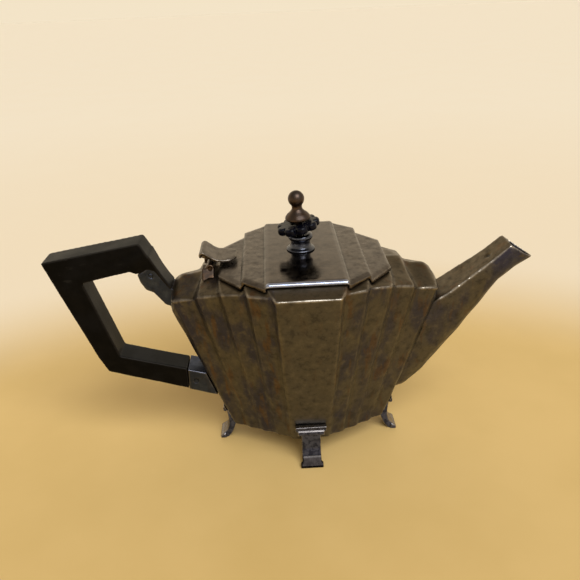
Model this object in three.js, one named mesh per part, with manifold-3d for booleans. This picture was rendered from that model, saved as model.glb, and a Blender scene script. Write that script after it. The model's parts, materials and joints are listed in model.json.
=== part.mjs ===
// Stepped silver-plate teapot with a hinged lid, in millimetres.
// +X runs to the spout, -X to the handle, -Y is the front and +Z is up.
// The soles stand on z = 0, and the origin is under the middle of the overall length.
import * as THREE from 'three';
import { ConvexGeometry } from 'three/addons/geometries/ConvexGeometry.js';
import { mergeVertices } from 'three/addons/utils/BufferGeometryUtils.js';
import Module from 'manifold-3d';

const wasm = await Module();
wasm.setup();

// ---- Driving dimensions ----
const WALL = 1.4; // sheet thickness of body, lid and spout
const GAP = 0.3; // soldering and working gap between neighbouring pieces
const PANELS = 4; // narrow panels on each side of the wide middle panel
const PANEL_SLANT = 0.45; // share of a panel's step back that its own face takes
const END_TURN = 4.9; // step number at which the narrow end face starts

// Plan of the stepped body at the foot of its walls and at its rim
// The depth falls by step for each panel, and by ease less for each panel squared
const BASE = { half: 10, pitch: 7.9, riser: 1.6, depth: 27, step: 4.1, ease: 0 };
const RIM = { half: 15, pitch: 13, riser: 2.6, depth: 52.5, step: 10.2, ease: 0.3 };
const BASE_Z = 12.6;
const RIM_Z = 108.5;
const RIM_ARCH = 0.92; // the rim falls by this much times the step number squared

// Where each panel of the roof ends: at the lid seat for the inner three, on the ridge beyond
const SEATS = [
  { x: 19, y: 42.6, z: 111.2 },
  { x: 29.6, y: 32, z: 110.4 },
  { x: 43, y: 18.5, z: 106.7 },
];
const RIDGE = { inner: { x: 51, z: 106.8 }, outer: { x: 63.4, z: 101.2 }, start: { x: 52, z: 104.3 } };
const SHOULDER = { x: 67.4, y: 6, z: 96.6 };

// Opening in the roof, and the rings that stand in it
const OPENING = [[17.5, 41], [28, 30.6], [39.5, 17]];
const GALLERY = { width: 1.8, bottom: 100.5, tops: [110.6, 109.8, 106.4] };
const BEZEL = { width: 1.2, bottom: 103, tops: [111.5, 110.9, 107.8] };

// Lid: outline corners of each panel, lip and crown heights
const LID = [
  { corners: [[19, 43.6]], bottom: 110.8, lip: 112.8, crown: 113.3, roof: 111.8 },
  { corners: [[20.2, 43.4], [31, 33.6]], bottom: 108.5, lip: 111.9, crown: 112.7, roof: 111.2 },
  { corners: [[31.8, 33.4], [43, 19.4]], bottom: 106.6, lip: 108.8, crown: 109.6, roof: 108.1 },
];
const CROWN_INSET = 2.4;

// Hinge across the ridge at the handle end of the lid
const HINGE = { x: -47.6, z: 109.2, radius: 2, pin: 0.9, bore: 0.98 };
const KNUCKLE = { lid: 4, body: 4.4, end: 10.4, foot: 14, back: 4.2, front: 1.9 };
const PIN_HALF = 10.7;
const THUMB = { from: -34, length: 18, rise: 4.4, half: 8.4, thick: 1.4, sag: 0.012 };

// Handle outline in the plane y = 0
const HANDLE = { half: 7.5, reach: 132.9, top: 115.3, shoulder: [-82.4, 123.3] };
const TENON = { half: 4.5, length: 9, inset: 3 };
const SOCKET_HALF = 8.2;
const PEG = { radius: 1.2, bore: 1.28 };

// Spout
const SPOUT_REACH = 121.5;
const MOUTH = { top: [107.2, 112.7], lip: [SPOUT_REACH, 103.1] };
const STRAINER = { radius: 1.7, rows: 5, first: 40, spacing: 8, columns: [-4.4, 0, 4.4] };

// Finial on the lid
const FINIAL = { x: -0.8, lean: 0.055, stud: 1.5, seat: LID[0].crown + GAP };
const RING = { z: 126.3, radius: 11.2, waist: 8.9, bore: 3.4, thick: 3.8, petals: 9, tilt: 0.2 };

// Feet
const FOOT = { bracket: 8.4, ledge: 7.2, leg: 5.2, toe: 6.1, top: 24.4, reach: 9.8 };

const ORIGIN_SHIFT = (HANDLE.reach - SPOUT_REACH) / 2;

const SILVER = { color: 0x5d5347, roughness: 0.42, metalness: 1 };
const WORN = { color: 0x8a8781, roughness: 0.3, metalness: 1 };
const EBONY = { color: 0x14120f, roughness: 0.5, metalness: 0 };
const INSULATOR = { color: 0x0b0d14, roughness: 0.3, metalness: 0 };
const BRONZE = { color: 0x5a4033, roughness: 0.38, metalness: 1 };
const BRASS = { color: 0x7a6238, roughness: 0.45, metalness: 1 };

// ---- Solids ----
function solid(geometry) {
  const bare = geometry.index ? geometry.toNonIndexed() : geometry.clone();
  bare.deleteAttribute('normal');
  bare.deleteAttribute('uv');
  const merged = mergeVertices(bare, 1e-4);
  return new wasm.Manifold(new wasm.Mesh({
    numProp: 3,
    vertProperties: new Float32Array(merged.attributes.position.array),
    triVerts: new Uint32Array(merged.index.array),
  }));
}

function geometryOf(manifold) {
  const mesh = manifold.getMesh();
  const geometry = new THREE.BufferGeometry();
  geometry.setAttribute('position', new THREE.BufferAttribute(mesh.vertProperties, 3));
  geometry.setIndex(new THREE.BufferAttribute(mesh.triVerts, 1));
  return geometry;
}

function join(solids) {
  return solids.reduce((sum, next) => sum.add(next));
}

function hull(points) {
  return solid(new ConvexGeometry(points.map(([x, y, z]) => new THREE.Vector3(x, y, z))));
}

// Every point mirrored to both signs of x and y
function mirrored(points) {
  const signs = [[1, 1], [-1, 1], [-1, -1], [1, -1]];
  return points.flatMap(([x, y, z]) => signs.map(([sx, sy]) => [sx * x, sy * y, z]));
}

// Flat outline in x and z, as thick as 2 * half in y
function plate(outline, half) {
  const shape = new THREE.Shape(outline.map(([x, z]) => new THREE.Vector2(x, z)));
  const geometry = new THREE.ExtrudeGeometry(shape, { depth: 2 * half, bevelEnabled: false });
  geometry.rotateX(Math.PI / 2);
  geometry.translate(0, half, 0);
  return solid(geometry);
}

function box(low, high) {
  const size = high.map((value, axis) => value - low[axis]);
  const geometry = new THREE.BoxGeometry(...size);
  geometry.translate(...low.map((value, axis) => value + size[axis] / 2));
  return solid(geometry);
}

// Round bar along y, centred on x, z
function crossBar(radius, x, z, from, to, sides = 20) {
  const geometry = new THREE.CylinderGeometry(radius, radius, to - from, sides);
  geometry.translate(x, (from + to) / 2, z);
  return solid(geometry);
}

// Skin over equal rings of points, closed by a fan over each end
function loft(rings) {
  const count = rings[0].length;
  const last = (rings.length - 1) * count;
  const index = [];
  for (let i = 0; i < rings.length - 1; i += 1) {
    for (let j = 0; j < count; j += 1) {
      const next = (j + 1) % count;
      const [a, b] = [i * count + j, i * count + next];
      index.push(a, b + count, b, a, a + count, b + count);
    }
  }
  for (let j = 1; j < count - 1; j += 1) {
    index.push(0, j, j + 1, last, last + j + 1, last + j);
  }
  const geometry = new THREE.BufferGeometry();
  geometry.setAttribute('position', new THREE.Float32BufferAttribute(rings.flat(2), 3));
  geometry.setIndex(index);
  return solid(geometry);
}

// Turned piece about the z axis from [radius, z] pairs that start and end on the axis
function turned(profile, sides = 32) {
  const geometry = new THREE.LatheGeometry(profile.map(([r, z]) => new THREE.Vector2(r, z)), sides);
  geometry.rotateX(Math.PI / 2);
  return solid(geometry);
}

// ---- Body ----
function wallPoint(plan, level, step, x, grow) {
  return [x + grow, plan.depth - plan.step * step + plan.ease * step * step + grow, level];
}

// Corners of panel k on one plan: its own two, and the inner corner of the next panel
function panelCorners(plan, k, levelOf, grow) {
  const outer = plan.half + plan.pitch * k;
  const inner = k === 0 ? plan.half : outer - plan.pitch + plan.riser;
  const turn = k < PANELS ? k + 1 - PANEL_SLANT : END_TURN;
  const steps = [[inner, k === 0 ? 0 : k - PANEL_SLANT], [outer, k], [outer + plan.riser, turn]];
  return steps.map(([x, step]) => wallPoint(plan, levelOf(step), step, x, grow));
}

function rimLevel(step) {
  return RIM_Z - RIM_ARCH * step * step;
}

function roofPoints(k, grow) {
  if (k < SEATS.length) {
    return [[SEATS[k].x + grow, SEATS[k].y + grow, SEATS[k].z + grow]];
  }
  if (k < PANELS) {
    return [[RIDGE.inner.x + grow, 0, RIDGE.inner.z + grow]];
  }
  return [
    [RIDGE.start.x, 0, RIDGE.start.z + grow],
    [RIDGE.outer.x, 0, RIDGE.outer.z + grow],
    [SHOULDER.x + grow, SHOULDER.y, SHOULDER.z + grow],
  ];
}

// The whole stepped body as one solid, its skin moved out by grow
function bodySolid(grow) {
  const parts = [];
  for (let k = 0; k <= PANELS; k += 1) {
    const foot = panelCorners(BASE, k, () => BASE_Z - grow, grow);
    const rim = panelCorners(RIM, k, (step) => rimLevel(step) + grow, grow);
    parts.push(hull(mirrored([...foot, ...rim, ...roofPoints(k, grow)])));
  }
  return join(parts);
}

function steppedSlab(grow, bottom, top) {
  const parts = [];
  for (let k = 0; k <= PANELS; k += 1) {
    const low = panelCorners(BASE, k, () => bottom, grow);
    const high = panelCorners(BASE, k, () => top, grow);
    parts.push(hull(mirrored([...low, ...high])));
  }
  return join(parts);
}

// Upright prism inside the roof opening, with its own top for each panel
function openingPrism(inset, bottom, tops) {
  const corners = OPENING.map(([x, y]) => [x - inset, y - inset]);
  const parts = tops.map((top, k) => {
    const reach = corners.slice(0, tops.length === 1 ? corners.length : k + 1);
    return hull(mirrored(reach.flatMap(([x, y]) => [[x, y, bottom], [x, y, top]])));
  });
  return join(parts);
}

function strainerHoles() {
  const holes = [];
  for (let row = 0; row < STRAINER.rows; row += 1) {
    for (const y of STRAINER.columns) {
      const geometry = new THREE.CylinderGeometry(STRAINER.radius, STRAINER.radius, 40, 10);
      geometry.rotateZ(Math.PI / 2);
      geometry.translate(RIM.half + RIM.pitch * 3.2, y, STRAINER.first + STRAINER.spacing * row);
      holes.push(solid(geometry));
    }
  }
  return join(holes);
}

const bodyOutside = bodySolid(0);
const bodyClear = bodySolid(GAP);

function bodyShell() {
  const bottomCut = steppedSlab(-WALL - 0.2, BASE_Z - 5, BASE_Z + 3);
  return bodyOutside
    .subtract(bodySolid(-WALL))
    .subtract(bottomCut)
    .subtract(openingPrism(0, GALLERY.bottom, [RIM_Z + 20]))
    .subtract(strainerHoles());
}

function basePlate() {
  return steppedSlab(-WALL - 0.2 - GAP, BASE_Z + 0.6, BASE_Z + 1.8);
}

function openingGallery() {
  const outside = openingPrism(GAP, GALLERY.bottom, GALLERY.tops);
  return outside.subtract(openingPrism(GAP + GALLERY.width, 0, [RIM_Z + 20]));
}

// ---- Lid ----
function lidPanel(panel) {
  const points = [];
  for (const [x, y] of panel.corners) {
    points.push([x, y, panel.bottom]);
    points.push([x, y, panel.lip]);
    points.push([x - CROWN_INSET / 2, y - CROWN_INSET, panel.crown]);
  }
  return hull(mirrored(points));
}

function lidShell() {
  const whole = join(LID.map(lidPanel));
  const hollow = openingPrism(-0.6, 0, LID.map((panel) => panel.roof));
  const studHole = turned([[0, 90], [2.2, 90], [2.2, 130], [0, 130]], 20).translate([FINIAL.x, 0, 0]);
  return whole.subtract(bodyClear).subtract(hollow).subtract(studHole);
}

function lidBezel() {
  const clear = GAP + GALLERY.width + 0.5;
  const outside = openingPrism(clear, BEZEL.bottom, BEZEL.tops);
  return outside.subtract(openingPrism(clear + BEZEL.width, 0, [RIM_Z + 20]));
}

// ---- Hinge ----
function hingeBore() {
  return crossBar(HINGE.bore, HINGE.x, HINGE.z, -30, 30, 24);
}

// Lug soldered to the roof on one side of the ridge; side is 1 or -1
function hingeLug(side) {
  const ends = [KNUCKLE.body * side, KNUCKLE.end * side].sort((a, b) => a - b);
  const barrel = crossBar(HINGE.radius, HINGE.x, HINGE.z, ...ends);
  const block = hull([
    [KNUCKLE.body, HINGE.z],
    [KNUCKLE.end, HINGE.z],
    [KNUCKLE.foot, HINGE.z - 5],
    [KNUCKLE.foot, HINGE.z - 8],
    [KNUCKLE.body, HINGE.z - 8],
  ].flatMap(([y, z]) => [-KNUCKLE.back, KNUCKLE.front].map((u) => [HINGE.x + u, y * side, z])));
  return barrel.add(block).subtract(hingeBore()).subtract(bodyClear);
}

function lidKnuckle() {
  const barrel = crossBar(HINGE.radius, HINGE.x, HINGE.z, -KNUCKLE.lid, KNUCKLE.lid);
  const strapTop = HINGE.z + HINGE.radius;
  const strap = box([HINGE.x, -KNUCKLE.lid, strapTop - 1.1], [-38, KNUCKLE.lid, strapTop]);
  return barrel.add(strap).subtract(hingeBore());
}

// Curved thumb plate that rises from the lid over the hinge
function thumbpiece() {
  const start = HINGE.z + HINGE.radius + GAP;
  const stations = [];
  const count = 8;
  for (let i = 0; i <= count; i += 1) {
    const t = i / count;
    const half = THUMB.half * Math.sin(Math.PI * (0.12 + 0.55 * t));
    stations.push({ x: THUMB.from - THUMB.length * t, rise: THUMB.rise * t * t, half });
  }
  const slices = [];
  for (let i = 0; i < count; i += 1) {
    const points = [];
    for (const { x, rise, half } of [stations[i], stations[i + 1]]) {
      for (const y of [-half, 0, half]) {
        const z = start + rise * (1 - (THUMB.sag * y * y) / THUMB.rise);
        points.push([x, y, z], [x, y, z + THUMB.thick]);
      }
    }
    slices.push(hull(points));
  }
  const web = hull([
    [HINGE.x - 3, start + 1.4],
    [HINGE.x - 4, start + THUMB.rise],
    [HINGE.x - 0.6, start],
    [HINGE.x + 4, start],
    [HINGE.x + 4, start + 2],
  ].flatMap(([x, z]) => [[x, -2, z], [x, 2, z]]));
  return join(slices).add(web);
}

function hingePin() {
  return crossBar(HINGE.pin, HINGE.x, HINGE.z, -PIN_HALF, PIN_HALF, 16);
}

// ---- Finial ----
function finialBase() {
  const seat = FINIAL.seat;
  const outside = turned([
    [0, seat], [7.3, seat], [7.5, seat + 0.5], [7.1, seat + 1], [5.6, seat + 1.6], [4.3, seat + 2.8],
    [4.1, seat + 4.4], [5, seat + 5.8], [5.5, seat + 6.8], [5.3, seat + 8], [4.5, seat + 8.6], [0, seat + 8.6],
  ]);
  return outside.subtract(turned([[0, 0], [2.2, 0], [2.2, 200], [0, 200]], 20)).translate([FINIAL.x, 0, 0]);
}

// Petalled ring, loose on the stud and tipped down at the handle side
function insulatorRing() {
  const shape = new THREE.Shape();
  const points = RING.petals * 8;
  for (let i = 0; i < points; i += 1) {
    const angle = (2 * Math.PI * i) / points;
    const lobe = Math.sqrt(Math.abs(Math.cos((RING.petals * angle) / 2)));
    const radius = RING.waist + (RING.radius - RING.waist) * lobe;
    const [x, y] = [radius * Math.cos(angle), radius * Math.sin(angle)];
    if (i === 0) shape.moveTo(x, y);
    else shape.lineTo(x, y);
  }
  shape.closePath();
  const bore = new THREE.Path();
  bore.absarc(0, 0, RING.bore, 0, 2 * Math.PI, true);
  shape.holes.push(bore);
  const geometry = new THREE.ExtrudeGeometry(shape, {
    depth: RING.thick - 1.6,
    curveSegments: 8,
    bevelThickness: 0.8,
    bevelSize: 0.7,
    bevelOffset: -0.7,
    bevelSegments: 1,
  });
  geometry.translate(0, 0, 0.8 - RING.thick / 2);
  geometry.rotateY(-RING.tilt);
  geometry.translate(FINIAL.x - 0.9, 0, RING.z);
  return solid(geometry);
}

// Puts a piece turned about the z axis on the leaning upper part of the finial
function leaning(manifold) {
  const pivot = FINIAL.seat;
  const degrees = THREE.MathUtils.radToDeg(FINIAL.lean);
  return manifold.translate([0, 0, -pivot]).rotate([0, -degrees, 0]).translate([FINIAL.x, 0, pivot]);
}

function finialCap() {
  const low = 129.8;
  const ball = { z: 140.6, radius: 4.2 };
  const profile = [
    [0, low], [6.2, low], [6.6, low + 0.6], [6.4, low + 1.6], [5.3, low + 3], [3.7, low + 4.3],
    [2.8, low + 5.4], [2.6, low + 6.4],
  ];
  const start = Math.asin(2.75 / ball.radius);
  const arcs = 10;
  for (let i = 0; i <= arcs; i += 1) {
    const angle = start + ((Math.PI - start) * i) / arcs;
    profile.push([i === arcs ? 0 : ball.radius * Math.sin(angle), ball.z - ball.radius * Math.cos(angle)]);
  }
  const tapped = turned([[0, 100], [FINIAL.stud + GAP, 100], [FINIAL.stud + GAP, low + 4], [0, low + 4]], 20);
  return leaning(turned(profile).subtract(tapped));
}

function finialStud() {
  return leaning(turned([[0, 105], [FINIAL.stud, 105], [FINIAL.stud, 133.2], [0, 133.2]], 16));
}

function lidNut() {
  const outside = turned([[0, 107.4], [3.9, 107.4], [3.9, 110], [0, 110]], 6);
  return outside.subtract(turned([[0, 0], [2, 0], [2, 200], [0, 200]], 16)).translate([FINIAL.x + 0.25, 0, 0]);
}

function lidWasher() {
  const outside = turned([[0, 110.4], [5.2, 110.4], [5.2, 111.4], [0, 111.4]], 24);
  return outside.subtract(turned([[0, 0], [2, 0], [2, 200], [0, 200]], 16)).translate([FINIAL.x + 0.1, 0, 0]);
}

// ---- Spout ----
// Sections from body to mouth: the top line, the keel line and the half width of the flat top
const SPOUT_SECTIONS = [
  { top: [62, 80.5], keel: [42, 23.5], half: 11.6 },
  { top: [70.5, 85.4], keel: [55.5, 27.5], half: 11.2 },
  { top: [76, 89.1], keel: [65.4, 37], half: 10.6 },
  { top: [82, 93.3], keel: [75.5, 50.5], half: 9.9 },
  { top: [88, 97.6], keel: [85.4, 63.3], half: 9.3 },
  { top: [94.5, 102.4], keel: [94.8, 77], half: 8.7 },
  { top: [101, 107.6], keel: [104.2, 90.4], half: 8.2 },
  { top: [107.2, 112.8], keel: [112.8, 97.8], half: 8 },
  { top: [114, 119], keel: [SPOUT_REACH, 103], half: 7.6 },
];

// Section outline: flat top, full cheeks and a narrow rounded keel
function spoutRing(section, inset) {
  const [top, keel] = [section.top, section.keel];
  const rows = [[0, 1], [0.25, 0.97], [0.55, 0.82], [0.8, 0.56], [0.95, 0.27], [1, 0.1]];
  const length = Math.hypot(keel[0] - top[0], keel[1] - top[1]);
  const cheek = rows.map(([share, width]) => {
    const along = (inset + share * (length - 2 * inset)) / length;
    const x = top[0] + (keel[0] - top[0]) * along;
    const z = top[1] + (keel[1] - top[1]) * along;
    return [x, (section.half - inset) * width, z];
  });
  return [...cheek, ...cheek.map(([x, y, z]) => [x, -y, z]).reverse()];
}

function spoutSolid(inset) {
  return loft(SPOUT_SECTIONS.map((section) => spoutRing(section, inset)));
}

function mouthCut() {
  const { top, lip } = MOUTH;
  const [dx, dz] = [lip[0] - top[0], lip[1] - top[1]];
  const far = 40;
  const outline = [
    [top[0] - dx, top[1] - dz],
    [lip[0] + dx, lip[1] + dz],
    [lip[0] + dx + far, lip[1] + dz + far],
    [top[0] - dx + far, top[1] - dz + far],
  ];
  return plate(outline, 20);
}

function spout() {
  return spoutSolid(0).subtract(spoutSolid(WALL)).subtract(mouthCut()).subtract(bodyClear);
}

// ---- Handle ----
const UPPER_JOINT = [[-85.6, 106.7], [-75.8, 112.6]];
const LOWER_JOINT = [[-66.2, 36.4], [-65.8, 49]];

function handleGrip() {
  const outline = [
    [-HANDLE.reach, HANDLE.top], [-112.8, 58.9], [-108.5, 49.9], LOWER_JOINT[0], LOWER_JOINT[1],
    [-101, 59.1], [-114, 103.1], [-88.9, 108.3], UPPER_JOINT[0], UPPER_JOINT[1], HANDLE.shoulder,
  ];
  const grip = plate(outline, HANDLE.half);
  return grip.add(upperTenon(0)).add(lowerTenon(0)).subtract(upperPeg(PEG.bore)).subtract(lowerPeg(PEG.bore));
}

// Narrow tongue that runs from the cut end of the handle into its socket
function tongue(joint, direction, grow) {
  const [a, b] = joint;
  const [ux, uz] = [b[0] - a[0], b[1] - a[1]];
  const length = Math.hypot(ux, uz);
  const [sx, sz] = [ux / length, uz / length];
  const edge = TENON.inset - grow;
  const low = [a[0] + sx * edge, a[1] + sz * edge];
  const high = [b[0] - sx * edge, b[1] - sz * edge];
  const reach = TENON.length + grow;
  const back = 2;
  const [dx, dz] = direction;
  return plate([
    [low[0] - dx * back, low[1] - dz * back],
    [low[0] + dx * reach, low[1] + dz * reach],
    [high[0] + dx * reach, high[1] + dz * reach],
    [high[0] - dx * back, high[1] - dz * back],
  ], TENON.half + grow);
}

function upperTenon(grow) {
  return tongue(UPPER_JOINT, [0.516, -0.857], grow);
}

function lowerTenon(grow) {
  return tongue(LOWER_JOINT, [0.96, -0.28], grow);
}

function upperPeg(radius) {
  return crossBar(radius, -78, 106, -SOCKET_HALF, SOCKET_HALF, 16);
}

function lowerPeg(radius) {
  return crossBar(radius, -61.5, 41.4, -SOCKET_HALF, SOCKET_HALF, 16);
}

function upperSocket() {
  const outline = [
    [-85.4, 106.3], [-75.6, 112.2], [-68.2, 100.5], [-62, 96], [-62, 88.5], [-70, 88.5], [-73.6, 89.5],
    [-75.9, 92.6], [-78.7, 96.4], [-82.4, 98.1], [-84.4, 102],
  ];
  const whole = plate(outline, SOCKET_HALF);
  return whole.subtract(upperTenon(GAP)).subtract(upperPeg(PEG.bore)).subtract(bodyClear);
}

function lowerSocket() {
  const outline = [[-65.8, 36.3], [-40, 28], [-40, 41.5], [-65.4, 48.9]];
  const whole = plate(outline, SOCKET_HALF);
  return whole.subtract(lowerTenon(GAP)).subtract(lowerPeg(PEG.bore)).subtract(bodyClear);
}

// ---- Feet ----
// Built with its sole under the front wall, then turned and moved to its side
function foot(turn, wallReach) {
  const u = (value) => -(wallReach + value);
  const band = (outline, half) => plate(outline, half).rotate([0, 0, 90]);
  const bracket = band([[u(-4), 21.4], [u(5.8), 21.4], [u(6.4), FOOT.top], [u(-2), FOOT.top]], FOOT.bracket);
  const ledge = band([[u(-4), 18.6], [u(6.8), 19.4], [u(6.8), 21.9], [u(-4), 21.9]], FOOT.ledge);
  const leg = band([
    [u(-3), 19], [u(5.4), 20], [u(4.6), 14], [u(4.4), 9.5], [u(5.6), 5], [u(8.4), 2.4], [u(FOOT.reach), 1.4],
    [u(FOOT.reach), 0], [u(5.2), 0], [u(2.6), 3.4], [u(0.8), 8], [u(-0.6), 12.2], [u(-3), 13.2],
  ], FOOT.leg);
  const toe = band([
    [u(8.2), 2.6], [u(FOOT.reach), 1.4], [u(FOOT.reach), 0], [u(6.4), 0], [u(7), 2.4],
  ], FOOT.toe);
  return join([bracket, ledge, leg, toe]).rotate([0, 0, turn]);
}

function footOn(turn, wallReach) {
  const plateRoom = box([-36, -22, BASE_Z - 0.4], [36, 22, BASE_Z + 20]);
  return foot(turn, wallReach).subtract(bodyClear).subtract(plateRoom);
}

// ---- Assembly ----
const root = new THREE.Group();
root.position.x = ORIGIN_SHIFT;

function place(name, manifold, look) {
  const mesh = new THREE.Mesh(geometryOf(manifold), new THREE.MeshStandardMaterial(look));
  mesh.name = name;
  root.add(mesh);
}

place('body_shell', bodyShell(), SILVER);
place('base_plate', basePlate(), SILVER);
place('opening_gallery', openingGallery(), SILVER);
place('spout', spout(), SILVER);
place('foot_front', footOn(0, BASE.depth), WORN);
place('foot_back', footOn(180, BASE.depth), WORN);
place('foot_spout_side', footOn(90, 41.6), WORN);
place('foot_handle_side', footOn(-90, 41.6), WORN);
place('handle_grip', handleGrip(), EBONY);
place('handle_socket_upper', upperSocket(), SILVER);
place('handle_socket_lower', lowerSocket(), SILVER);
place('handle_peg_upper', upperPeg(PEG.radius), WORN);
place('handle_peg_lower', lowerPeg(PEG.radius), WORN);
place('lid_shell', lidShell(), SILVER);
place('lid_bezel', lidBezel(), SILVER);
place('hinge_lug_front', hingeLug(-1), BRASS);
place('hinge_lug_back', hingeLug(1), BRASS);
place('lid_knuckle', lidKnuckle(), SILVER);
place('hinge_pin', hingePin(), BRASS);
place('thumbpiece', thumbpiece(), SILVER);
place('finial_base', finialBase(), WORN);
place('insulator_ring', insulatorRing(), INSULATOR);
place('finial_cap', finialCap(), BRONZE);
place('finial_stud', finialStud(), BRASS);
place('lid_washer', lidWasher(), BRASS);
place('lid_nut', lidNut(), BRASS);

export default root;
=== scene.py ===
"""Stepped silver-plate teapot: its visible pieces, their materials and a plain studio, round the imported
frame. Lengths are in metres. +X runs to the spout, -X to the handle, -Y is the front, and the soles stand
on z = 0."""

import json
import math

import bmesh
import bpy
import numpy as np
from mathutils import Matrix, Vector, noise
from mathutils.bvhtree import BVHTree

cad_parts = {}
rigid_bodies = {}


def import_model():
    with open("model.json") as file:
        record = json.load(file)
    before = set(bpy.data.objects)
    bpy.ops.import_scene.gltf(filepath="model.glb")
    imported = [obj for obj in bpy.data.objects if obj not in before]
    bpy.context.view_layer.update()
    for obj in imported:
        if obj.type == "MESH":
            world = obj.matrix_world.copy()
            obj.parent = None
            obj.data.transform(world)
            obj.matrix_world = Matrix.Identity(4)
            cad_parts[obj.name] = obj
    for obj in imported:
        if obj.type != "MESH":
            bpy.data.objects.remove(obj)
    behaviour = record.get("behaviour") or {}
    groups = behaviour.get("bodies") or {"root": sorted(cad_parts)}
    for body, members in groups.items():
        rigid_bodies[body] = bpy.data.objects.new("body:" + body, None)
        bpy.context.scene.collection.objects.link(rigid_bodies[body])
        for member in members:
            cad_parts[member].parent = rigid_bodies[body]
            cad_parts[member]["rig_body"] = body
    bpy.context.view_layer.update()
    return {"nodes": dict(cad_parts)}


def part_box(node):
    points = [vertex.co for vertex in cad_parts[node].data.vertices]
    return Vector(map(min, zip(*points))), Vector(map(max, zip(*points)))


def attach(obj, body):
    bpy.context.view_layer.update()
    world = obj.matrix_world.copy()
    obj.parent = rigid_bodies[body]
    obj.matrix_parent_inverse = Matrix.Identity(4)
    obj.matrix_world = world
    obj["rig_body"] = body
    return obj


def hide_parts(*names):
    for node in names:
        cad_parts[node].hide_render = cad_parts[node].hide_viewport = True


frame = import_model()

MM = 0.001
SMOOTHING = 0.5  # share of the way to its neighbours' mean that a point moves in one round
EDGE_ROUNDS = 8  # rounds of averaging that mark_edges() compares the surface with
EDGE_SCALE = 0.16 * MM  # how far a full edge stands off that averaged surface

FEET = ["foot_front", "foot_back", "foot_spout_side", "foot_handle_side"]
PEGS = ["handle_peg_upper", "handle_peg_lower"]
SOCKETS = ["handle_socket_upper", "handle_socket_lower"]
LID_PLATE = ["lid_shell", "lid_bezel", "lid_knuckle", "thumbpiece"]
LUGS = ["hinge_lug_front", "hinge_lug_back"]
FIXINGS = ["hinge_pin", "finial_stud", "lid_washer", "lid_nut"]
SLOTS = {
    "tarnished_silver": ["body_shell", "base_plate", "opening_gallery", "spout", *LID_PLATE, *SOCKETS],
    "worn_silver": [*FEET, *PEGS, "finial_base"],
    "ebonised_wood": ["handle_grip"],
    "black_insulator": ["insulator_ring"],
    "bronzed_metal": ["finial_cap"],
    "brass_fittings": [*LUGS, *FIXINGS],
}
BODY_OF = {node: obj["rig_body"] for node, obj in frame["nodes"].items()}


# ---- Mesh work ----
def points_of(mesh):
    flat = np.empty(len(mesh.vertices) * 3)
    mesh.vertices.foreach_get("co", flat)
    return flat.reshape(-1, 3)


def normals_of(mesh):
    flat = np.empty(len(mesh.vertices) * 3)
    mesh.vertex_normals.foreach_get("vector", flat)
    return flat.reshape(-1, 3)


def edges_of(mesh):
    flat = np.empty(len(mesh.edges) * 2, np.int64)
    mesh.edges.foreach_get("vertices", flat)
    return flat.reshape(-1, 2)


def averaged(points, edges, rounds):
    """The points after each has moved part of the way to its neighbours' mean, rounds times."""
    a, b = edges[:, 0], edges[:, 1]
    count = len(points)
    degree = np.bincount(a, minlength=count) + np.bincount(b, minlength=count)
    degree = np.maximum(degree, 1)[:, None]
    for _ in range(rounds):
        total = np.empty_like(points)
        for axis in range(points.shape[1]):
            column = points[:, axis]
            total[:, axis] = np.bincount(a, column[b], count) + np.bincount(b, column[a], count)
        points = points + SMOOTHING * (total / degree - points)
    return points


def put_points(mesh, points):
    mesh.vertices.foreach_set("co", points.astype(np.float32).ravel())
    mesh.update()


def mark(mesh, name, values):
    attribute = mesh.attributes.get(name) or mesh.attributes.new(name, "FLOAT", "POINT")
    attribute.data.foreach_set("value", np.asarray(values, np.float32))


def mark_edges(mesh):
    """Stores +1 on ridges and -1 in creases, for the wear and the grime in the materials."""
    points = points_of(mesh)
    offset = points - averaged(points, edges_of(mesh), EDGE_ROUNDS)
    height = np.einsum("ij,ij->i", offset, normals_of(mesh))[:, None] / EDGE_SCALE
    mark(mesh, "edge", np.clip(averaged(height, edges_of(mesh), 2)[:, 0], -1, 1))


def ramp(values, low, high):
    """0 at low and 1 at high, smoothly, and held at both ends."""
    t = np.clip((values - low) / (high - low), 0, 1)
    return t * t * (3 - 2 * t)


def unevenness(mesh, depth, size, seed):
    """Moves the surface in and out a little, as sheet worked by hand does."""
    points, normals = points_of(mesh), normals_of(mesh)
    shift = Vector((seed, 2.7 * seed, 0.3 * seed))
    waves = np.array([noise.noise(Vector(p) / size + shift) for p in points])
    put_points(mesh, points + normals * (waves * depth)[:, None])


def linked(name, data):
    piece = bpy.data.objects.new(name, data)
    bpy.context.scene.collection.objects.link(piece)
    return piece


def even_skin(node, shape, voxel):
    """A closed shape's surface as an even, dense mesh."""
    piece = linked(node + "_skin", shape)
    remesh = piece.modifiers.new("even", "REMESH")
    remesh.mode = "VOXEL"
    remesh.voxel_size = voxel
    bpy.context.view_layer.update()
    graph = bpy.context.evaluated_depsgraph_get()
    dense = bpy.data.meshes.new_from_object(piece.evaluated_get(graph))
    piece.modifiers.clear()
    piece.data = dense
    return piece


def stands_for(piece, node, rub=1.0):
    """Finishes a piece that takes the place of one CAD node; rub is how worn its ridges are."""
    piece.data.shade_smooth()
    mark_edges(piece.data)
    mark(piece.data, "rub", np.full(len(piece.data.vertices), rub))
    mark(piece.data, "top", ramp(normals_of(piece.data)[:, 2], 0.15, 0.55))
    piece.data.materials.clear()
    piece.data.materials.append(MATERIALS[node])
    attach(piece, BODY_OF[node])
    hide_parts(node)
    return piece


def refined(node, voxel, rounds, uneven=0.0, size=12 * MM, seed=1.0, rub=1.0, shape=None):
    """A CAD node, or the shape that stands for it, with rounded edges and a slightly uneven surface."""
    piece = even_skin(node, shape or frame["nodes"][node].data.copy(), voxel)
    mesh = piece.data
    put_points(mesh, averaged(points_of(mesh), edges_of(mesh), rounds))
    if uneven:
        unevenness(mesh, uneven, size, seed)
    return stands_for(piece, node, rub)


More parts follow.
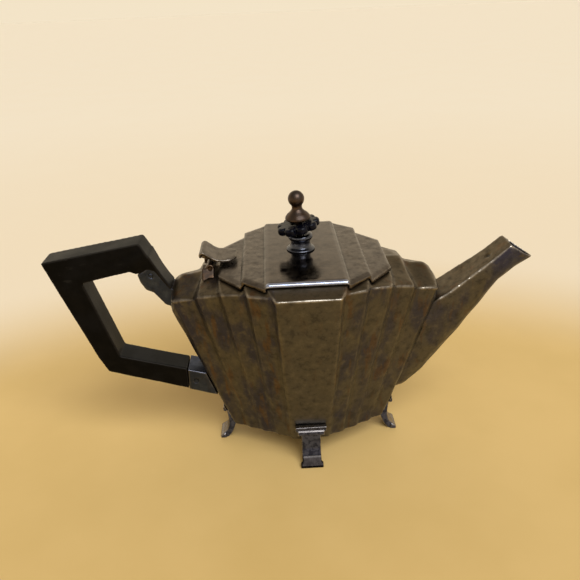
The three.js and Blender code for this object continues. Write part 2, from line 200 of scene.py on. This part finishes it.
def lofted(name, rings):
    """Skin over equal rings of points, closed at both ends."""
    sides = len(rings[0])
    last = (len(rings) - 1) * sides
    faces = [tuple(reversed(range(sides))), tuple(range(last, last + sides))]
    for start in range(0, last, sides):
        for j in range(sides):
            k = (j + 1) % sides
            faces.append((start + j, start + k, start + sides + k, start + sides + j))
    mesh = bpy.data.meshes.new(name)
    mesh.from_pydata([point for ring in rings for point in ring], [], faces)
    return mesh


def joined_meshes(mesh, others):
    """The first mesh with the others added to it."""
    whole = bmesh.new()
    whole.from_mesh(mesh)
    for other in others:
        whole.from_mesh(other)
        bpy.data.meshes.remove(other)
    whole.to_mesh(mesh)
    whole.free()
    return mesh


# ---- Materials ----
class Look:
    """A node material, built step by step round one Principled shader."""

    def __init__(self, name, colour, metallic, roughness):
        self.material = bpy.data.materials.new(name)
        self.material.use_nodes = True
        self.material.diffuse_color = (*colour, 1)
        self.nodes = self.material.node_tree.nodes
        self.links = self.material.node_tree.links
        self.shader = self.nodes["Principled BSDF"]
        self.shader.inputs["Base Color"].default_value = (*colour, 1)
        self.shader.inputs["Metallic"].default_value = metallic
        self.shader.inputs["Roughness"].default_value = roughness
        self.place = self.nodes.new("ShaderNodeTexCoord").outputs["Object"]

    def feed(self, socket, value):
        """Sets a socket to a number or a colour, or links it to another node's output."""
        if isinstance(value, bpy.types.NodeSocket):
            self.links.new(value, socket)
        elif isinstance(value, tuple) and len(value) == 3 and socket.type == "RGBA":
            socket.default_value = (*value, 1)
        else:
            socket.default_value = value

    def noise(self, size, detail=5, stretch=(1, 1, 1), roughness=0.55):
        """Noise whose features are about size metres wide, drawn out along each axis by stretch."""
        mapping = self.nodes.new("ShaderNodeMapping")
        mapping.inputs["Scale"].default_value = tuple(1 / s for s in stretch)
        self.links.new(self.place, mapping.inputs["Vector"])
        texture = self.nodes.new("ShaderNodeTexNoise")
        texture.inputs["Scale"].default_value = 1 / size
        texture.inputs["Detail"].default_value = detail
        texture.inputs["Roughness"].default_value = roughness
        self.links.new(mapping.outputs["Vector"], texture.inputs["Vector"])
        return texture.outputs["Fac"]

    def attribute(self, name):
        node = self.nodes.new("ShaderNodeAttribute")
        node.attribute_name = name
        return node.outputs["Fac"]

    def band(self, value, low, high, to_low=0.0, to_high=1.0):
        """Carries value from low..high to to_low..to_high, smoothly and held at both ends."""
        node = self.nodes.new("ShaderNodeMapRange")
        node.interpolation_type = "SMOOTHSTEP"
        ends = {"From Min": low, "From Max": high, "To Min": to_low, "To Max": to_high}
        for name, number in ends.items():
            node.inputs[name].default_value = number
        self.feed(node.inputs["Value"], value)
        return node.outputs["Result"]

    def math(self, operation, a, b):
        node = self.nodes.new("ShaderNodeMath")
        node.operation = operation
        self.feed(node.inputs[0], a)
        self.feed(node.inputs[1], b)
        return node.outputs[0]

    def mix(self, factor, a, b, blend="MIX"):
        """Colour a where factor is 0, and b (or a times b, for MULTIPLY) where it is 1."""
        node = self.nodes.new("ShaderNodeMix")
        node.data_type = "RGBA"
        node.blend_type = blend
        self.feed(node.inputs[0], factor)
        self.feed(node.inputs[6], a)
        self.feed(node.inputs[7], b)
        return node.outputs[2]

    def colour(self, value):
        self.feed(self.shader.inputs["Base Color"], value)

    def roughness(self, value):
        self.feed(self.shader.inputs["Roughness"], value)

    def bump(self, *layers):
        """Layers of (height, depth in metres), laid one on another."""
        normal = None
        for height, depth in layers:
            node = self.nodes.new("ShaderNodeBump")
            node.inputs["Distance"].default_value = depth
            self.links.new(height, node.inputs["Height"])
            if normal is not None:
                self.links.new(normal, node.inputs["Normal"])
            normal = node.outputs["Normal"]
        self.links.new(normal, self.shader.inputs["Normal"])


RUBBED = (0.56, 0.50, 0.42)  # silver rubbed clean of most of its tarnish
# polished silver, with a painted bright blue reflection of the window light
POLISHED_WITH_PAINTED_REFLECTION = (0.56, 0.63, 0.86)  # silver kept bright
# painted darker reflection on the lid's glossy middle panel
GLOSS_DARK_REFLECTION_TINT = (0.69, 0.66, 0.65)  # the lid's middle panel against the rest of the lid
COOL_TINT = (0.80, 0.90, 1.45)  # the mouth of the spout against the rest of the spout


def shade(colour, share):
    """A colour made darker or lighter."""
    return tuple(share * c for c in colour)


def clouded(look, base, clouds, rust, streaks):
    """The base colour with clouds of a second one and rust-brown spots, both fewer where it is plain; on the
    body's middle panels that lighter tone is a painted reflection of the lit floor.
    """
    plain = look.attribute("plain")
    broad = look.noise(13 * MM, detail=5, stretch=(1, 1, 1.8))
    held_back = look.math("ADD", plain, look.math("MULTIPLY", look.attribute("top"), 0.4))
    patches = look.math("SUBTRACT", look.band(broad, 0.34, 0.64), held_back)
    tone = look.mix(look.band(patches, 0.0, 1.0), base, clouds)
    spots = look.band(streaks, 0.5, 0.66, 0.0, 0.85)
    rusty = look.math("SUBTRACT", spots, look.math("MULTIPLY", plain, 0.6))
    return look.mix(look.band(rusty, 0.0, 1.0), tone, rust)


def mottled(look, tone, base, mottle, fine):
    """A tone with darker blotches and lighter specks."""
    dark, light = shade(base, 0.42), shade(base, 1.55)
    tone = look.mix(look.band(mottle, 0.5, 0.66, 0.0, 0.6), tone, dark)
    tone = look.mix(look.band(mottle, 0.48, 0.34, 0.0, 0.45), tone, light)
    return look.mix(look.band(fine, 0.55, 0.75, 0.0, 0.35), tone, light)


def tinted(look, tone, painted_top_reflection):
    """A tone given a painted warm reflection on top and a painted darker reflection where it is glossier,
    and tinted where it is cooler.
    """
    # painted reflection: the faces that look up are tinted warm, as the room they face
    tone = look.mix(look.attribute("top"), tone, painted_top_reflection, "MULTIPLY")
    tone = look.mix(look.attribute("gloss_and_dark_reflection"), tone, GLOSS_DARK_REFLECTION_TINT, "MULTIPLY")
    return look.mix(look.attribute("cool"), tone, COOL_TINT, "MULTIPLY")


def tarnish(name, base, clouds, rust, wear, roughness, streak=6.0, relief=1.0, painted_top_reflection=(1, 1, 1)):
    """Silver plate under brown-grey tarnish: wear is how bright its worn edges are, streak how far the rust
    runs down, relief how deep the surface is, and the faces that look up get a painted warm reflection of
    the room."""
    look = Look(name, base, 1.0, roughness)
    streaks = look.noise(5 * MM, detail=6, stretch=(1, 1, streak))
    mottle = look.noise(4 * MM, detail=8, roughness=0.68)
    fine = look.noise(0.8 * MM, detail=6, roughness=0.7)
    tone = clouded(look, base, clouds, rust, streaks)
    tone = mottled(look, tone, base, mottle, fine)
    tone = tinted(look, tone, painted_top_reflection)
    edge = look.attribute("edge")
    crease = look.band(look.math("MULTIPLY", edge, -1.0), 0.15, 0.8, 0.0, 0.7)
    tone = look.mix(crease, tone, shade(base, 0.3))
    patchy = look.band(mottle, 0.62, 0.4, 0.35, 1.0)
    worn = look.math("MULTIPLY", look.band(edge, 0.15, 0.9), patchy)
    worn = look.math("MULTIPLY", worn, look.math("MULTIPLY", look.attribute("rub"), wear))
    tone = look.mix(worn, tone, RUBBED)
    nearly_even = look.band(mottle, 0.68, 0.45, 0.6, 1.0)
    # the polished front lip, painted with a bright blue reflection
    look.colour(look.mix(look.math("MULTIPLY", look.attribute("bright"), nearly_even), tone, POLISHED_WITH_PAINTED_REFLECTION))
    rough = look.math("ADD", look.band(mottle, 0.35, 0.7, -0.06, 0.10), roughness)
    rough = look.math("SUBTRACT", rough, look.math("MULTIPLY", worn, 0.1))
    rough = look.math("SUBTRACT", rough, look.math("MULTIPLY", look.attribute("gloss_and_dark_reflection"), 0.18))
    look.roughness(look.math("MAXIMUM", rough, 0.1))
    look.bump((mottle, 0.045 * MM * relief), (fine, 0.03 * MM * relief), (streaks, 0.04 * MM * relief))
    return look.material


def worn_silver(name, base, dark, upper, roughness):
    """Plate that hands and polishing kept bright, blue-black in the hollows; upper is a tone painted on top
    for the light falling there.
    """
    look = Look(name, base, 1.0, roughness)
    spots = look.noise(2.6 * MM, detail=6)
    fine = look.noise(0.5 * MM, detail=5, roughness=0.7)
    edge = look.attribute("edge")
    tone = look.mix(look.band(spots, 0.42, 0.62), base, dark)
    tone = look.mix(look.band(edge, 0.25, 0.95, 0.0, 0.7), tone, (0.62, 0.56, 0.53))
    # painted light: the faces that look up take the upper tone
    tone = look.mix(look.band(look.attribute("top"), 0.45, 1.0), tone, upper)
    # painted shade on the front foot's toe, near the floor
    tone = look.mix(look.attribute("toe"), tone, (0.07, 0.062, 0.06), "MULTIPLY")
    crease = look.band(look.math("MULTIPLY", edge, -1.0), 0.05, 0.6, 0.0, 0.9)
    look.colour(look.mix(crease, tone, (0.02, 0.02, 0.028)))
    look.roughness(look.band(spots, 0.3, 0.7, roughness - 0.06, roughness + 0.14))
    look.bump((spots, 0.03 * MM), (fine, 0.02 * MM))
    return look.material


def ebonised_wood(name):
    """Black-stained hardwood: fine pores, rubbed brown-grey where the hand reaches, and lighter on top with
    dusty wear and a painted sheen.
    """
    black = (0.0016, 0.0015, 0.0015)
    look = Look(name, black, 0.0, 0.36)
    look.shader.inputs["Specular IOR Level"].default_value = 0.07
    grain = look.noise(0.9 * MM, detail=7, stretch=(9, 1, 9), roughness=0.65)
    cloud = look.noise(16 * MM, detail=5)
    scratches = look.noise(0.35 * MM, detail=3, stretch=(26, 2, 8))
    tone = look.mix(look.band(grain, 0.45, 0.65, 0.0, 0.7), black, (0.0042, 0.0036, 0.003))
    tone = look.mix(look.band(cloud, 0.5, 0.7, 0.0, 0.5), tone, (0.0065, 0.006, 0.0058))
    # dusty wear and painted sheen: the faces that look up are lighter brown-grey
    patchy = look.band(cloud, 0.4, 0.6, -0.25, 0.25)
    dust_and_sheen = look.band(look.math("ADD", look.attribute("top"), patchy), 0.3, 1.2)
    tone = look.mix(dust_and_sheen, tone, (0.013, 0.0125, 0.0115))
    tone = look.mix(look.band(look.attribute("edge"), 0.3, 0.95, 0.0, 0.4), tone, (0.03, 0.024, 0.018))
    look.colour(look.mix(look.band(scratches, 0.66, 0.74, 0.0, 0.4), tone, (0.022, 0.02, 0.017)))
    look.roughness(look.band(cloud, 0.3, 0.7, 0.30, 0.46))
    look.bump((grain, 0.04 * MM), (scratches, 0.015 * MM))
    return look.material


def insulator_plastic(name):
    """Blue-black moulded insulator, glossy, with handling marks."""
    base = (0.0016, 0.0019, 0.005)
    look = Look(name, base, 0.0, 0.24)
    look.shader.inputs["Specular IOR Level"].default_value = 0.15
    cloud = look.noise(3 * MM, detail=5)
    fine = look.noise(0.5 * MM, detail=4)
    look.colour(look.mix(look.band(cloud, 0.45, 0.7), base, (0.005, 0.0055, 0.013)))
    look.roughness(look.band(cloud, 0.3, 0.7, 0.16, 0.34))
    look.bump((cloud, 0.012 * MM), (fine, 0.005 * MM))
    return look.material


def toned_metal(name, base, second, roughness):
    """Copper alloy gone brown, with a second tone in patches and rubbed ridges."""
    look = Look(name, base, 1.0, roughness)
    patches = look.noise(3.2 * MM, detail=6)
    fine = look.noise(0.6 * MM, detail=5, roughness=0.7)
    edge = look.attribute("edge")
    tone = look.mix(look.band(patches, 0.42, 0.62), base, second)
    tone = look.mix(look.band(fine, 0.55, 0.75, 0.0, 0.5), tone, shade(base, 0.4))
    look.colour(look.mix(look.band(edge, 0.25, 0.9, 0.0, 0.25), tone, (0.34, 0.25, 0.18)))
    look.roughness(look.band(patches, 0.3, 0.7, roughness - 0.07, roughness + 0.12))
    look.bump((patches, 0.04 * MM), (fine, 0.02 * MM))
    return look.material


BODY_LOOK = tarnish(
    "tarnished_plate",
    base=(0.10, 0.093, 0.082),
    clouds=(0.047, 0.048, 0.082),
    rust=(0.105, 0.070, 0.048),
    wear=0.8,
    roughness=0.40,
    # painted warm reflection of the room on the roof faces that look up
    painted_top_reflection=(1.16, 0.96, 0.66),
)
LID_LOOK = tarnish(
    "tarnished_plate_lid",
    base=(0.128, 0.107, 0.089),
    clouds=(0.108, 0.092, 0.079),
    rust=(0.11, 0.088, 0.068),
    wear=0.5,
    roughness=0.33,
    streak=1.0,
    relief=0.1,
)
SOCKET_LOOK = tarnish(
    "tarnished_plate_sockets",
    base=(0.046, 0.058, 0.095),
    clouds=(0.032, 0.040, 0.066),
    rust=(0.042, 0.042, 0.05),
    wear=0.15,
    roughness=0.34,
    relief=0.6,
)
FOOT_LOOK = worn_silver(
    "worn_plate",
    base=(0.085, 0.102, 0.20),
    dark=(0.036, 0.042, 0.08),
    upper=(0.23, 0.21, 0.20),
    roughness=0.22,
)
FINIAL_LOOK = worn_silver(
    "worn_plate_finial",
    base=(0.11, 0.12, 0.155),
    dark=(0.055, 0.06, 0.085),
    upper=(0.10, 0.105, 0.125),
    roughness=0.2,
)
WOOD_LOOK = ebonised_wood("ebonised_wood")
PLASTIC_LOOK = insulator_plastic("black_insulator")
BRONZE_LOOK = toned_metal("bronzed_cap", (0.09, 0.060, 0.044), (0.070, 0.052, 0.043), 0.36)
BRASS_LOOK = toned_metal("dull_brass", (0.085, 0.052, 0.032), (0.055, 0.040, 0.031), 0.4)

SLOT_LOOKS = {
    "tarnished_silver": BODY_LOOK,
    "worn_silver": FOOT_LOOK,
    "ebonised_wood": WOOD_LOOK,
    "black_insulator": PLASTIC_LOOK,
    "bronzed_metal": BRONZE_LOOK,
    "brass_fittings": BRASS_LOOK,
}
MATERIALS = {node: SLOT_LOOKS[slot] for slot, nodes in SLOTS.items() for node in nodes}
MATERIALS.update({node: LID_LOOK for node in LID_PLATE})
MATERIALS.update({node: SOCKET_LOOK for node in SOCKETS + PEGS})
MATERIALS["finial_base"] = FINIAL_LOOK


# ---- Pieces ----
def plain_nodes(*nodes):
    """CAD nodes whose own shape is right: they only get a material."""
    for node in nodes:
        obj = frame["nodes"][node]
        obj.data.materials.clear()
        obj.data.materials.append(MATERIALS[node])


def mark_rim(mesh, middle):
    """The rim crease is rubbed bright, most of all on the front panel; the upright edges hardly are."""
    points, normals = points_of(mesh), normals_of(mesh)
    upward = normals[:, 2]
    on_rim = ramp(upward, -0.2, 0.1) * ramp(-upward, -0.92, -0.75)  # between the walls and the roof
    in_middle = ramp(-np.abs(points[:, 0] - middle), -17 * MM, -15 * MM)
    mark(mesh, "rub", 0.10 + on_rim * (0.4 + 0.7 * in_middle))
    half_at_foot, widening = 10 * MM, 5 * MM
    half_panel = half_at_foot + widening * points[:, 2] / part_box("body_shell")[1].z
    front = ramp(half_panel - np.abs(points[:, 0] - middle), -0.5 * MM, 0.5 * MM)
    # painted reflection: the middle panels are kept lighter, with fewer clouds and rust
    mark(mesh, "plain", np.maximum(front, 0.3 * ramp(points[:, 0], 10 * MM, 40 * MM)))


def fill_shoulders(mesh, middle):
    """The roof's outermost panels, over the handle and the spout, are fuller than flat."""
    points, normals = points_of(mesh), normals_of(mesh)
    fuller, inner_side, outer_side = 1.5 * MM, 56 * MM, 66 * MM
    out = ramp(np.abs(points[:, 0] - middle), inner_side, outer_side) * ramp(normals[:, 2], 0.1, 0.4)
    put_points(mesh, points + normals * (fuller * out)[:, None])
    mark_edges(mesh)


def seat_spout(mesh):
    """Seats the root of the spout on the body wall, and gives how far each point is from the body."""
    onto_wall = 0.9 * MM
    body = frame["nodes"]["body_shell"].data
    corners = [vertex.co for vertex in body.vertices]
    wall = BVHTree.FromPolygons(corners, [face.vertices for face in body.polygons])
    points = points_of(mesh)
    gap = np.array([wall.find_nearest(Vector(p))[3] for p in points])
    points[:, 0] -= onto_wall * ramp(-gap, -6 * MM, -1.5 * MM)
    put_points(mesh, points)
    return gap


def thin_mouth(mesh):
    """Thins the sheet from inside towards the mouth, whose cut runs from its top edge to its lip."""
    thinner = 0.95 * MM
    top_edge = np.array([112.9, 112.7]) * MM
    lip = np.array([127.2, 103.1]) * MM
    fall = (lip - top_edge) / np.linalg.norm(lip - top_edge)
    ahead = np.array([-fall[1], fall[0]])
    points, normals = points_of(mesh), normals_of(mesh)
    depth = -(points[:, [0, 2]] - top_edge) @ ahead
    inside_cheek = ramp(-np.sign(points[:, 1]) * normals[:, 1], 0.1, 0.5)
    below_top = (points[:, [0, 2]] - top_edge) @ fall
    inside_top = ramp(-normals[:, 2], 0.3, 0.6) * ramp(-below_top, -4 * MM, -3 * MM)
    near = ramp(-depth, -9 * MM, -2 * MM)
    points -= normals * (np.maximum(inside_cheek, inside_top) * near * thinner)[:, None]
    put_points(mesh, points)


def dent_spout(mesh):
    """A small knock in the flat top of the spout."""
    centre = np.array([103.4, -1.0, 105.0]) * MM
    reach, depth = 2.6 * MM, 0.8 * MM
    points, normals = points_of(mesh), normals_of(mesh)
    near = ramp(-np.linalg.norm(points - centre, axis=1), -reach, 0)
    points -= normals * (near * depth)[:, None]
    put_points(mesh, points)


def make_spout():
    spout = refined("spout", 0.5 * MM, 10, uneven=0.35 * MM, size=12 * MM, seed=3.0)
    mesh = spout.data
    gap = seat_spout(mesh)
    thin_mouth(mesh)
    dent_spout(mesh)
    mark_edges(mesh)
    points, normals = points_of(mesh), normals_of(mesh)
    sideways = np.abs(normals[:, 1])
    crease = ramp(sideways, 0.2, 0.45) * ramp(normals[:, 2], 0.1, 0.3)
    near_mouth = ramp(points[:, 0], 96 * MM, 116 * MM)
    mark(mesh, "rub", (0.35 + 0.9 * crease) * ramp(gap, 1.0 * MM, 3.0 * MM))
    mark(mesh, "plain", np.full(len(points), 0.35))
    mark(mesh, "cool", near_mouth * ramp(sideways, 0.3, 0.7))


def make_body():
    middle = (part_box("lid_shell")[0].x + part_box("lid_shell")[1].x) / 2
    body = refined("body_shell", 0.6 * MM, 8, uneven=0.34 * MM, size=11 * MM, seed=1.0)
    fill_shoulders(body.data, middle)
    mark_rim(body.data, middle)


def step_lid(mesh):
    """Lifts the middle panel of the lid onto the finial's seat, and lowers the next panels a little."""
    step = 0.3 * MM
    low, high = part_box("lid_shell")
    points, normals = points_of(mesh), normals_of(mesh)
    off_middle = np.abs(points[:, 0] - (low.x + high.x) / 2)
    on_top = ramp(normals[:, 2], 0.2, 0.6)
    middle = ramp(-off_middle, -20.0 * MM, -19.3 * MM)
    outer = ramp(off_middle, 30.8 * MM, 31.4 * MM)
    points[:, 2] += on_top * (middle * step - (1 - middle) * (1 - outer) * step)
    put_points(mesh, points)
    # the middle panel's top is glossier, and darkened there by a painted reflection
    mark(mesh, "gloss_and_dark_reflection", on_top * middle)
    mark(mesh, "rub", 0.45 * ramp(normals[:, 2], -0.1, 0.3))


def mark_lip(mesh):
    """The rolled front lip of the middle panel is polished, and painted bright blue as a reflection of the
    window light.
    """
    low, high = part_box("lid_shell")
    middle = (low.x + high.x) / 2
    points = points_of(mesh)
    front = ramp(-points[:, 1], -low.y - 2.2 * MM, -low.y - 1.2 * MM)
    across = ramp(-np.abs(points[:, 0] - middle), -19.6 * MM, -18.4 * MM)
    above = ramp(points[:, 2], high.z - 3.6 * MM, high.z - 2.6 * MM)
    mark(mesh, "bright", front * across * above)


def thumb_path():
    """Underside of the thumb plate, in mm back from its tip, up from the knuckle, and half across."""
    low_part = [(0.0, 0.4, 4.2), (1.2, 0.2, 6.4), (3.2, 0.1, 8.0), (7.0, 0.1, 8.8), (10.5, 0.6, 8.8)]
    rise = [(13.0, 2.0, 8.7), (15.0, 3.6, 8.8), (16.4, 4.6, 9.0), (17.3, 4.9, 9.0)]
    scroll = [(17.8, 4.5, 8.9), (17.9, 3.8, 8.7), (17.5, 3.0, 8.4)]
    return low_part + rise + scroll


def thumb_rings(path, thick):
    """A ring round the plate at each point of its path, which is (x, z, half width) along its underside."""
    across = 12  # steps over the width
    rings = []
    for i, (x, z, half) in enumerate(path):
        ahead = path[min(i + 1, len(path) - 1)]
        behind = path[max(i - 1, 0)]
        along = Vector((ahead[0] - behind[0], 0, ahead[1] - behind[1])).normalized()
        out = Vector((along.z, 0, -along.x))
        under = [Vector((x, half * (2 * j / across - 1), z)) for j in range(across + 1)]
        rings.append([point + out * thick for point in under] + under[::-1])
    return rings


def thumb_web(side, half, tip, seat):
    """Two ends of a web under the plate, whose side view is in mm back from the tip and up from the seat."""
    ends = []
    for y in (-half, half):
        ends.append([Vector((tip - back * MM, y, seat + up * MM)) for back, up in side])
    return ends


def thumb_shape():
    """A leaf narrow at its tip, rising to a crest and curled over at the handle end, on a short stem."""
    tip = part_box("thumbpiece")[1].x
    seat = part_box("lid_knuckle")[1].z + 0.3 * MM
    path = [(tip - back * MM, seat + up * MM, half * MM) for back, up, half in thumb_path()]
    shape = lofted("thumb", thumb_rings(path, 1.1 * MM))
    stem_top = [(10.2, 0.0), (10.2, 0.9), (13.0, 2.4), (15.0, 4.0), (16.6, 5.0)]
    stem_back = [(17.5, 3.6), (16.5, 0.7), (16.0, 0.0)]
    crest = [(14.0, 3.1), (17.2, 5.0), (17.7, 3.4), (16.9, 2.5), (15.4, 2.4)]
    webs = []
    for side, half in ((stem_top + stem_back, 3.8 * MM), (crest, 8.2 * MM)):
        webs.append(lofted("thumb_web", thumb_web(side, half, tip, seat)))
    return joined_meshes(shape, webs)


def make_lid():
    lid = refined("lid_shell", 0.42 * MM, 4, uneven=0.07 * MM, size=16 * MM, seed=5.0, rub=0.45)
    step_lid(lid.data)
    mark_edges(lid.data)
    mark_lip(lid.data)
    refined("thumbpiece", 0.3 * MM, 4, shape=thumb_shape())
    refined("lid_knuckle", 0.32 * MM, 4)


def make_feet():
    """Four bracket feet; the toe of the front one is painted dark, as shade near the floor."""
    for node in FEET:
        foot = refined(node, 0.3 * MM, 5)
        dark = 1.0 if node == "foot_front" else 0.0
        mark(foot.data, "toe", dark * ramp(-points_of(foot.data)[:, 2], -6.5 * MM, -4.0 * MM))


# The end arm of the handle, in side view (x, z).
ARM_TOP = np.array([-76.7, 123.3]) * MM  # outer corner, where the arm turns down to the body
ARM_RUN = np.array([0.529, -0.849])  # direction down the arm
ARM_IN = np.array([-0.849, -0.529])  # across the arm, from its outer to its inner edge
ARM_WIDTH = 11 * MM
ARM_LENGTH = 24 * MM
ARM_TAPER = 0.2  # share of its depth that it loses towards the body
ARM_INWARD = 2.2 * MM  # how far its outer edge comes in towards the body


def taper_arm(mesh, widen=0.0):
    """Tapers the end arm towards the body; widen first carries the grip out over its socket."""
    points = points_of(mesh)
    side = points[:, [0, 2]] - ARM_TOP
    run, across = side @ ARM_RUN, side @ ARM_IN
    on_arm = ramp(-across, -22 * MM, -16 * MM)  # 1 on the arm and 0 on the rest of the grip
    down = ramp(run, 0, ARM_LENGTH) * on_arm
    points[:, 1] *= (1 + widen * ramp(run, 0, 9 * MM) * on_arm) * (1 - ARM_TAPER * down)
    outer = np.clip(1 - across / ARM_WIDTH, 0, 1)
    inward = ARM_INWARD * down * outer
    onward = ramp(run, 14 * MM, 26 * MM) * on_arm * (0.9 + 1.3 * outer) * MM
    points[:, [0, 2]] += inward[:, None] * ARM_IN + onward[:, None] * ARM_RUN
    put_points(mesh, points)
    mark_edges(mesh)


def grip_shape():
    """The grip with the wooden strip that runs on over its upper socket to the body."""
    strip = [(8, -0.4), (26.5, -0.4), (27, 1.2), (16, 1.8), (13.4, 5.0), (12.9, 10.4), (8, 9.0)]
    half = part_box("handle_grip")[1].y
    rings = []
    for y in (-half, half):
        ring = [ARM_TOP + ARM_RUN * run * MM + ARM_IN * across * MM for run, across in strip]
        rings.append([Vector((x, y, z)) for x, z in ring])
    return joined_meshes(frame["nodes"]["handle_grip"].data.copy(), [lofted("grip_strip", rings)])


def make_handle():
    shape = grip_shape()
    grip = refined("handle_grip", 0.5 * MM, 4, uneven=0.1 * MM, size=14 * MM, seed=7.0, shape=shape)
    socket = refined("handle_socket_upper", 0.4 * MM, 4, uneven=0.15 * MM, size=6 * MM, seed=8.0)
    peg = refined("handle_peg_upper", 0.25 * MM, 2)
    taper_arm(grip.data, widen=0.13)
    taper_arm(socket.data)
    taper_arm(peg.data)
    refined("handle_socket_lower", 0.4 * MM, 4, uneven=0.1 * MM, size=6 * MM, seed=9.0)


def thicken_collar(mesh):
    """The collar above the flange is a little stouter than the turned piece, as the casting is."""
    stouter = 0.18
    low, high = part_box("finial_base")
    middle = (low.x + high.x) / 2
    points = points_of(mesh)
    wider = 1 + stouter * ramp(points[:, 2], low.z + 1.4 * MM, low.z + 3.0 * MM)
    points[:, 0] = (points[:, 0] - middle) * wider + middle
    points[:, 1] *= wider
    put_points(mesh, points)


def make_finial():
    base = refined("finial_base", 0.22 * MM, 10)
    thicken_collar(base.data)
    refined("finial_cap", 0.22 * MM, 10)
    refined("insulator_ring", 0.25 * MM, 5)


def make_hinge():
    for node in LUGS:
        refined(node, 0.3 * MM, 4)


make_body()
make_spout()
make_lid()
make_feet()
make_handle()
make_finial()
make_hinge()
plain_nodes("base_plate", "opening_gallery", "lid_bezel", *FIXINGS, "handle_peg_lower")


# ---- Studio ----
def make_floor():
    """Pale floor, straw-coloured round the pot and paler further off."""
    half = 9.0
    corners = [(-half, -half, 0), (half, -half, 0), (half, half, 0), (-half, half, 0)]
    mesh = bpy.data.meshes.new("floor")
    mesh.from_pydata(corners, [], [(0, 1, 2, 3)])
    floor = linked("floor", mesh)
    look = Look("floor", (0.74, 0.50, 0.18), 0.0, 0.5)
    distance = look.nodes.new("ShaderNodeVectorMath")
    distance.operation = "DISTANCE"
    look.links.new(look.place, distance.inputs[0])
    distance.inputs[1].default_value = (0, -0.25, 0)
    away = distance.outputs["Value"]
    cloud = look.noise(0.09, detail=4)
    near = look.mix(look.band(cloud, 0.3, 0.7), (0.72, 0.49, 0.175), (0.77, 0.53, 0.20))
    far = look.mix(look.band(away, 0.55, 1.5), (0.93, 0.79, 0.58), (0.955, 0.845, 0.665))
    look.colour(look.mix(look.band(away, 0.36, 0.53), near, far))
    look.roughness(look.band(cloud, 0.3, 0.7, 0.5, 0.6))
    mesh.materials.append(look.material)


def make_world():
    """A pale wall low behind the pot, a half-lit one low all round, and a dimmer room above."""
    room, wall = (0.33, 0.29, 0.235, 1), (0.90, 0.775, 0.575, 1)
    world = bpy.data.worlds.new("studio")
    bpy.context.scene.world = world
    world.use_nodes = True
    nodes, links = world.node_tree.nodes, world.node_tree.links
    place = nodes.new("ShaderNodeTexCoord")
    axes = nodes.new("ShaderNodeSeparateXYZ")
    links.new(place.outputs["Generated"], axes.inputs[0])

    def held(value, low, high, most=1.0):
        node = nodes.new("ShaderNodeMapRange")
        node.interpolation_type = "SMOOTHSTEP"
        node.inputs["From Min"].default_value = low
        node.inputs["From Max"].default_value = high
        node.inputs["To Max"].default_value = most
        links.new(value, node.inputs["Value"])
        return node.outputs["Result"]

    def combined(operation, a, b):
        node = nodes.new("ShaderNodeMath")
        node.operation = operation
        links.new(a, node.inputs[0])
        links.new(b, node.inputs[1])
        return node.outputs[0]

    low_down = held(axes.outputs["Z"], 0.85, 0.4)
    behind = combined("MULTIPLY", held(axes.outputs["Y"], -0.35, 0.6), low_down)
    all_round = held(axes.outputs["Z"], 0.45, 0.15, 0.45)
    blend = nodes.new("ShaderNodeMix")
    blend.data_type = "RGBA"
    links.new(combined("MAXIMUM", behind, all_round), blend.inputs[0])
    blend.inputs[6].default_value = room
    blend.inputs[7].default_value = wall
    links.new(blend.outputs[2], nodes["Background"].inputs["Color"])


def make_light():
    """One soft light from high in front, a little to the spout's side."""
    data = bpy.data.lights.new("window", "SUN")
    data.energy = 2.3
    data.angle = math.radians(42)
    data.color = (0.93, 0.96, 1.0)
    window = linked("window", data)
    window.rotation_mode = "QUATERNION"
    window.rotation_quaternion = Vector((-0.30, 0.62, -0.82)).to_track_quat("-Z", "Y")


def make_camera():
    """The camera stands in front of the pot and looks down on it, a little turned and rolled."""
    sensor, focal = 36, 1.1034  # sensor width in mm, and focal length as a share of it
    place = Vector((-7.9, -310.5, 234.7)) * MM
    turn, tilt, roll = (math.radians(a) for a in (1.16, 24.96, 2.49))
    ahead = Vector((math.sin(turn) * math.cos(tilt), math.cos(turn) * math.cos(tilt), -math.sin(tilt)))
    level = Vector((math.cos(turn), -math.sin(turn), 0))
    under = ahead.cross(level)
    right = math.cos(roll) * level + math.sin(roll) * under
    down = math.cos(roll) * under - math.sin(roll) * level
    data = bpy.data.cameras.new("camera")
    data.sensor_width = sensor
    data.lens = sensor * focal
    data.clip_start, data.clip_end = 0.01, 20
    camera = linked("camera", data)
    axes = Matrix((right, -down, -ahead)).transposed()
    camera.matrix_world = Matrix.Translation(place) @ axes.to_4x4()
    bpy.context.scene.camera = camera


bpy.context.scene.view_settings.view_transform = "Standard"
make_floor()
make_world()
make_light()
make_camera()
